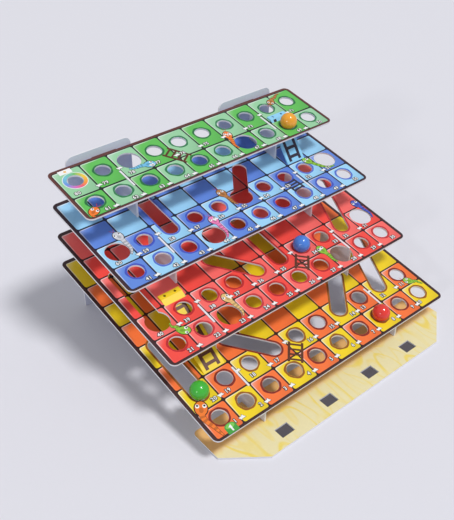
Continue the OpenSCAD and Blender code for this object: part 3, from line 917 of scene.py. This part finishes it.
class BOARD_OT_stage(bpy.types.Operator):
    """Lay the pale floor, hang the studio lamps and set the camera"""

    bl_idname = "board.stage"
    bl_label = "Stage"

    def execute(self, context):
        scene = context.scene
        scene.view_settings.view_transform = "Standard"
        shape = bmesh.new()
        bmesh.ops.create_grid(shape, x_segments=1, y_segments=1, size=FLOOR_REACH,
                              matrix=Matrix.Translation((0.0, 0.0, -FLOOR_DROP)))
        material, tree, shader, coords = new_material("studio_floor")
        coat_card(tree, shader, coords["Object"], tone("floor"), mottle=0.02, gloss=0.7)
        new_piece("studio_floor", shape, [material])
        for name, lamp in LAMPS.items():
            self.lamp(scene, name, *lamp)
        self.world(scene)
        self.camera(scene)
        return {"FINISHED"}

    def lamp(self, scene, name, power, spread, towards):
        lamp = bpy.data.lights.new(name, "SUN")
        lamp.energy, lamp.angle = power, math.radians(spread)
        carrier = bpy.data.objects.new(name, lamp)
        carrier.rotation_mode = "QUATERNION"
        carrier.rotation_quaternion = Vector(towards).to_track_quat("Z", "Y")
        scene.collection.objects.link(carrier)

    def world(self, scene):
        world = bpy.data.worlds.new("studio")
        world.use_nodes = True
        world.node_tree.nodes.clear()
        tree = Tree(world.node_tree)
        light = tree.add("ShaderNodeBackground", {"Color": SKY_LIGHT, "Strength": SKY_STRENGTH}).outputs[0]
        seen = tree.add("ShaderNodeBackground", {"Color": SKY_SEEN, "Strength": 1.0}).outputs[0]
        straight = tree.add("ShaderNodeLightPath").outputs["Is Camera Ray"]
        shown = tree.add("ShaderNodeMixShader", {0: straight, 1: light, 2: seen})
        tree.add("ShaderNodeOutputWorld", {"Surface": shown.outputs[0]})
        scene.world = world

    def camera(self, scene):
        data = bpy.data.cameras.new("camera")
        data.lens, data.sensor_width = LENS, SENSOR
        data.clip_start, data.clip_end = NEAREST, FURTHEST
        carrier = bpy.data.objects.new("camera", data)
        turned = Matrix(CAMERA_AXES).transposed().to_4x4()
        carrier.matrix_world = Matrix.Translation(CAMERA_PLACE) @ turned
        scene.collection.objects.link(carrier)
        scene.camera = carrier


class BOARD_OT_boards(bpy.types.Operator):
    """Print the squares, gridlines and borders of the four tiers"""

    bl_idname = "board.boards"
    bl_label = "Tier boards"

    def execute(self, context):
        for tier in TIERS:
            dress("board_" + tier, board_material(tier))
        return {"FINISHED"}


class BOARD_OT_card_parts(bpy.types.Operator):
    """Finish the base strip, the fins, the rear panels and the ladder strips"""

    bl_idname = "board.card_parts"
    bl_label = "Card parts"

    def execute(self, context):
        dress("base_strip", base_material())
        dress("fin_", card_material("fin", (1.0, 0.0, 0.0)))
        dress("rear_panel", card_material("panel", (0.0, 1.0, 0.0)))
        dress("ladder_low", ink("strip_low"))
        dress("ladder_high", ink("strip_high"))
        self.park_floors()
        return {"FINISHED"}

    def park_floors(self):
        """Dark plates at the bottom of the four parking holes: painted shade, standing in for the shade in
        the holes.
        """
        size = sizes()
        low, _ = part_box("base_strip")
        place = Matrix.Translation((0.0, low.y + size.park_y, size.film))
        sheet = PrintSheet("park_floors", place, "base_card")
        reach = Vector((size.park_width / 2, 0.0))
        for k in range(PARK_COUNT):
            # Each plate is painted shade at the bottom of a parking hole
            middle = Vector(((k - (PARK_COUNT - 1) / 2) * size.park_spacing, 0.0))
            sheet.press(bar_shape(middle - reach, middle + reach, size.park_depth, layers=3), ink("park"))
        sheet.finish()


class BOARD_OT_rings(bpy.types.Operator):
    """Print the rings round the ball seats and the ball tracks"""

    bl_idname = "board.rings"
    bl_label = "Rings"

    def execute(self, context):
        size = sizes()
        inner, outer = size.seat + RING_GAP, size.seat + size.ring
        for tier, sheet in tier_sheets("rings"):
            paints = [ink(tier + "_ring_even"), ink(tier + "_ring_odd")]
            tracks = {track[:2]: track[2:] for track in TRACKS[tier]}
            for row, column in CELLS:
                cell = (column, row)
                if cell in DROPS[tier] or (tier, *cell) == LAST_CELL:
                    continue
                seat = seat_point(tier, *cell)
                if cell in tracks:
                    shape = track_ring_shape(seat, seat_point(tier, *tracks[cell]), inner, outer, layers=1)
                else:
                    phase = RING_TURNS.dot(cell)
                    shape = ring_shape(seat, inner, outer, layers=1, phase=phase, amount=size.ring_wobble)
                sheet.press(shape, paints[(column + row) % 2])
        return {"FINISHED"}


class BOARD_OT_numbers(bpy.types.Operator):
    """Print the numbers 1 to 80 in the cells"""

    bl_idname = "board.numbers"
    bl_label = "Numbers"

    def execute(self, context):
        size = sizes()
        plain, bold = ([digit_mesh(str(digit), size.digit, swell) for digit in range(10)]
                       for swell in (DIGIT_SWELL, size.digit_outline))
        count = len(CELLS)
        for tier, sheet in tier_sheets("numbers"):
            for row, column in CELLS:
                # The count runs to the right in the first row and back in the second
                number = count * TIERS.index(tier) + (column + 1 if row == 0 else count - column)
                x, y = NUMBER_SPOTS[tier][0 if row == 0 else 2 if column in RIGHT_NUMBERS[tier] else 1]
                if number == LEFT_NUMBER:
                    x, y = LEFT_SPOT
                middle, text = cell_point(column + x, row + y), str(number)
                for k, digit in enumerate(map(int, text)):
                    step = (k - (len(text) - 1) / 2) * size.digit * DIGIT_STEP
                    at = middle + Vector((step, 0.0))
                    # Digits that overlap lie one above the other
                    sheet.press(digit_shape(bold[digit], at, BOLD_LAYERS + k * DIGIT_LIFT), ink("black"))
                    sheet.press(digit_shape(plain[digit], at, PLAIN_LAYERS + k * DIGIT_LIFT), ink("white"))
        for mesh in plain + bold:
            bpy.data.meshes.remove(mesh)
        return {"FINISHED"}


class BOARD_OT_arrows(bpy.types.Operator):
    """Print the small arrows that lead from cell to cell"""

    bl_idname = "board.arrows"
    bl_label = "Arrows"

    def execute(self, context):
        for tier, sheet in tier_sheets("arrows"):
            for row, column in CELLS:
                if column == 0:
                    continue
                x, y = ARROW_SPOTS[tier][row]
                if row == 1 and column in RAISED_ARROWS[tier]:
                    y = RAISED
                middle = cell_point(column + x, row + y)
                self.arrow(sheet, middle, row, ink("black"), layers=2, swell=ARROW_OUTLINE)
                self.arrow(sheet, middle, row, ink("white"), layers=3, swell=0.0)
        return {"FINISHED"}

    def arrow(self, sheet, middle, row, paint, layers, swell):
        """A fat head and a short flared tail, as two triangles that overlap."""
        heading = Vector((1.0 if row == 0 else -1.0, 0.0))
        for shift, long, wide, more in ARROW_PARTS:
            at = middle + heading * shift
            turn = math.pi * (row + (shift < 0))
            sheet.press(disc_shape(at, long + swell, wide + swell, turn, layers + more, 3), paint)


class BOARD_OT_ladders(bpy.types.Operator):
    """Print the ladders on the tiers and on the two ladder strips"""

    bl_idname = "board.ladders"
    bl_label = "Ladders"

    def execute(self, context):
        for tier, sheet in tier_sheets("ladder_print"):
            paint = ink("ladder_dark" if tier == "blue" else "ladder")
            foot, head = (cell_point(*end) for end in PRINTED_LADDERS[tier])
            add_ladder(sheet, foot, head, LADDER_WIDTH, LADDER_RUNGS, paint, sizes().rail)
            for name, strip in STRIPS.items():
                if strip[-1] == tier:
                    self.notches(sheet, name, tier)
        for name, (slot, paint, bare, _) in STRIPS.items():
            self.strip(name, slot, ink(paint), bare)
        return {"FINISHED"}

    def notches(self, sheet, name, tier):
        """Dark dots on the upper tier, seen through the notches in a strip's head."""
        size = sizes()
        low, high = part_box(name)
        corner = tier_corner(tier)
        back = (high.y - corner.y) / math.cos(size.slope) - size.head_length / 2
        for hand in (-1, 1):
            spot = Vector(((low.x + high.x + hand * size.notch_spacing) / 2 - corner.x, back))
            sheet.press(disc_shape(spot, size.notch, size.notch, turn=0.0, layers=1), ink("black"))

    def strip(self, name, slot, paint, bare):
        """A ladder along the sloping face of a strip, which is the largest that looks up."""
        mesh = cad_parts[name].data
        face = max((face for face in mesh.polygons if face.normal.z > 0), key=lambda face: face.area)
        normal = face.normal.copy()
        right = Vector((1.0, 0.0, 0.0))
        up = normal.cross(right).normalized()
        origin = mesh.vertices[face.vertices[0]].co
        flat = [vert.co for vert in mesh.vertices if abs((vert.co - origin).dot(normal)) < ON_FACE]
        flat.sort(key=up.dot)
        long = (flat[-1] - flat[0]).dot(up) - bare
        place = Matrix((right, up, normal)).transposed().to_4x4()
        low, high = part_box(name)
        place.translation = ((low.x + high.x) / 2, flat[0].y, flat[0].z)
        sheet = PrintSheet(name + "_print", place, slot)
        rungs = max(STRIP_RUNGS, round(long / STRIP_RUNG_STEP))
        add_ladder(sheet, Vector((0.0, STRIP_FOOT)), Vector((0.0, long)), STRIP_WIDTH, rungs, paint,
                   sizes().strip_rail)
        sheet.finish()


class BOARD_OT_snakes(bpy.types.Operator):
    """Print the banded snakes round the drop holes and beside the seats"""

    bl_idname = "board.snakes"
    bl_label = "Snakes"

    def execute(self, context):
        size = sizes()
        for tier, sheet in tier_sheets("snakes"):
            for column, row, angle, turn, colour in RIM_SNAKES[tier]:
                line = rim_line(seat_point(tier, column, row), size.drop, angle, turn)
                add_snake(sheet, line, colour, size.snake)
            for colour, share, points in FREE_SNAKES[tier]:
                line = smooth_line([cell_point(*point) for point in points], FREE_STEPS)
                add_snake(sheet, line, colour, size.snake * share)
        return {"FINISHED"}


class BOARD_OT_marks(bpy.types.Operator):
    """Print the start tab at the first cell, and the colour wheel and label at the last"""

    bl_idname = "board.marks"
    bl_label = "Start and finish"

    def execute(self, context):
        self.start_mark()
        self.finish_mark(*LAST_CELL)
        return {"FINISHED"}

    def start_mark(self):
        sheet = tier_sheet("start_mark", "yellow")
        for low, high, width, layers, paint in START_BARS:
            ends = cell_point(START_COLUMN, low), cell_point(START_COLUMN, high)
            sheet.press(bar_shape(*ends, width, layers), ink(paint))
        for row, long, wide, turn, layers, sides, paint in START_OVALS:
            middle = cell_point(START_COLUMN, row)
            sheet.press(disc_shape(middle, long, wide, turn, layers, sides), ink(paint))
        sheet.finish()

    def finish_mark(self, tier, column, row):
        sheet = tier_sheet("finish_mark", tier)
        seat, centre = sizes().seat, seat_point(tier, column, row)
        wheel = rainbow_material(sheet.place @ centre.to_3d())
        sheet.press(ring_shape(centre, seat + RING_GAP, seat + WHEEL_WIDTH, layers=1.4), wheel)
        sheet.press(ring_shape(centre, seat + WHITE_INNER, seat + WHITE_OUTER, layers=1.2), ink("white"))
        left, right = cell_point(LABEL_LEFT, LABEL_ROW), cell_point(LABEL_RIGHT, LABEL_ROW)
        sheet.press(bar_shape(left, right, LABEL_DEPTH, layers=2), ink("white"))
        sheet.press(self.star((left + right) / 2), ink("star"))
        sheet.finish()

    def star(self, centre):
        """A star, from a ring of points with every other one drawn in."""
        shape = bmesh.new()
        place = Matrix.Translation((centre.x, centre.y, -sizes().sink)) @ Matrix.Rotation(math.pi / 2, 4, "Z")
        points = bmesh.ops.create_circle(shape, cap_ends=True, segments=2 * STAR_POINTS, radius=STAR_RADIUS,
                                         matrix=place)["verts"]
        bmesh.ops.scale(shape, vec=(STAR_WAIST, STAR_WAIST, 1.0), verts=points[1::2],
                        space=Matrix.Translation((-centre.x, -centre.y, 0.0)))
        return raise_ink(shape, layers=2.6)


class BOARD_OT_balls(bpy.types.Operator):
    """Mould the four glossy balls, each with its seam"""

    bl_idname = "board.balls"
    bl_label = "Balls"

    def execute(self, context):
        for name, tilt in BALL_TURNS.items():
            low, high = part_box(name)
            shape = self.shell((high.x - low.x) / 2)
            place = (Matrix.Translation((low + high) / 2)
                     @ Matrix.Rotation(tilt, 4, "X") @ Matrix.Rotation(tilt, 4, "Y"))
            bmesh.ops.transform(shape, matrix=place, verts=shape.verts)
            for face in shape.faces:
                face.smooth = True
            piece = new_piece(name + "_shell", shape, [ball_material(name)])
            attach(piece, name)
            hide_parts(name)
        return {"FINISHED"}

    def shell(self, radius):
        """Half a circle from pole to pole with a fine ridge at its middle, spun into a ball."""
        shape = bmesh.new()
        middle = Vector((0.0, 0.0, 0.0))
        pole = shape.verts.new((0.0, 0.0, -radius))
        bmesh.ops.spin(shape, geom=[pole], cent=middle, axis=(0.0, -1.0, 0.0), angle=math.pi,
                       steps=BALL_STEPS // 2)
        near = [edge for edge in shape.edges if any(abs(vert.co.z) < MERGE for vert in edge.verts)]
        bmesh.ops.subdivide_edges(shape, edges=near, cuts=SEAM_CUTS)
        for vert in shape.verts:
            ridge = sizes().seam if abs(vert.co.z) < MERGE else 0.0
            vert.co = vert.co.normalized() * (radius + ridge)
        spin(shape, [*shape.verts, *shape.edges], middle, TAU, BALL_STEPS, merge=True)
        bmesh.ops.remove_doubles(shape, verts=shape.verts, dist=MERGE)
        bmesh.ops.recalc_face_normals(shape, faces=shape.faces)
        return shape


OPERATORS = (BOARD_OT_stage, BOARD_OT_boards, BOARD_OT_card_parts, BOARD_OT_rings, BOARD_OT_numbers,
             BOARD_OT_arrows, BOARD_OT_ladders, BOARD_OT_snakes, BOARD_OT_marks, BOARD_OT_balls)


class BOARD_PT_panel(bpy.types.Panel):
    """Lists the steps that dress the board"""

    bl_idname = "BOARD_PT_panel"
    bl_label = "Snakes and ladders board"
    bl_space_type = "VIEW_3D"
    bl_region_type = "UI"
    bl_category = "Board"

    def draw(self, context):
        for operator in OPERATORS:
            self.layout.operator(operator.bl_idname)


CLASSES = (BoardSizes, BoardColours, *OPERATORS, BOARD_PT_panel)


def register():
    for one in CLASSES:
        bpy.utils.register_class(one)
    bpy.types.Scene.board_sizes = PointerProperty(type=BoardSizes)
    bpy.types.Scene.board_colours = PointerProperty(type=BoardColours)


def unregister():
    del bpy.types.Scene.board_colours
    del bpy.types.Scene.board_sizes
    for one in reversed(CLASSES):
        bpy.utils.unregister_class(one)


def main():
    register()
    bpy.ops.board.stage()
    bpy.ops.board.boards()
    bpy.ops.board.card_parts()
    bpy.ops.board.rings()
    bpy.ops.board.numbers()
    bpy.ops.board.arrows()
    bpy.ops.board.ladders()
    bpy.ops.board.snakes()
    bpy.ops.board.marks()
    bpy.ops.board.balls()


if __name__ == "__main__":
    main()
